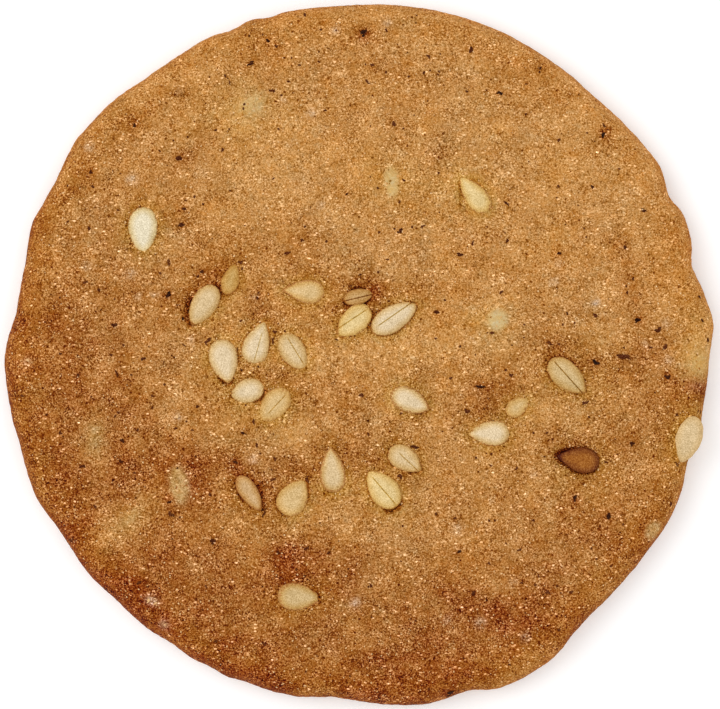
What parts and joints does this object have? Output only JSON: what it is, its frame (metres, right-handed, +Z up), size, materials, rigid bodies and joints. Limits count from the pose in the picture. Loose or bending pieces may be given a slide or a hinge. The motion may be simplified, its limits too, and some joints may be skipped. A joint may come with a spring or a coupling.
{
  "type": "sesame biscuit",
  "caption": "Thin round baked biscuit with an uneven cut rim, a sandy golden-brown crust and sesame seeds baked into its top.",
  "frame": {"origin": "on the flat underside, under the middle of the biscuit's box", "axes": "+Z up through the seeded top; +X to the right and +Y to the far side, as the biscuit is seen from above"},
  "size_m": [0.052, 0.0514, 0.0044],
  "materials": {
    "crust": "matte, fine sandy baked crumb",
    "sesame": "smooth dull cream seed coat",
    "toasted_sesame": "smooth dull brown seed coat",
    "bran": "dark dull flecks",
    "sugar": "small pale grains of sugar, slightly glossy"
  },
  "bodies": {
    "root": {"biscuit": "crust"}
  },
  "joints": []
}
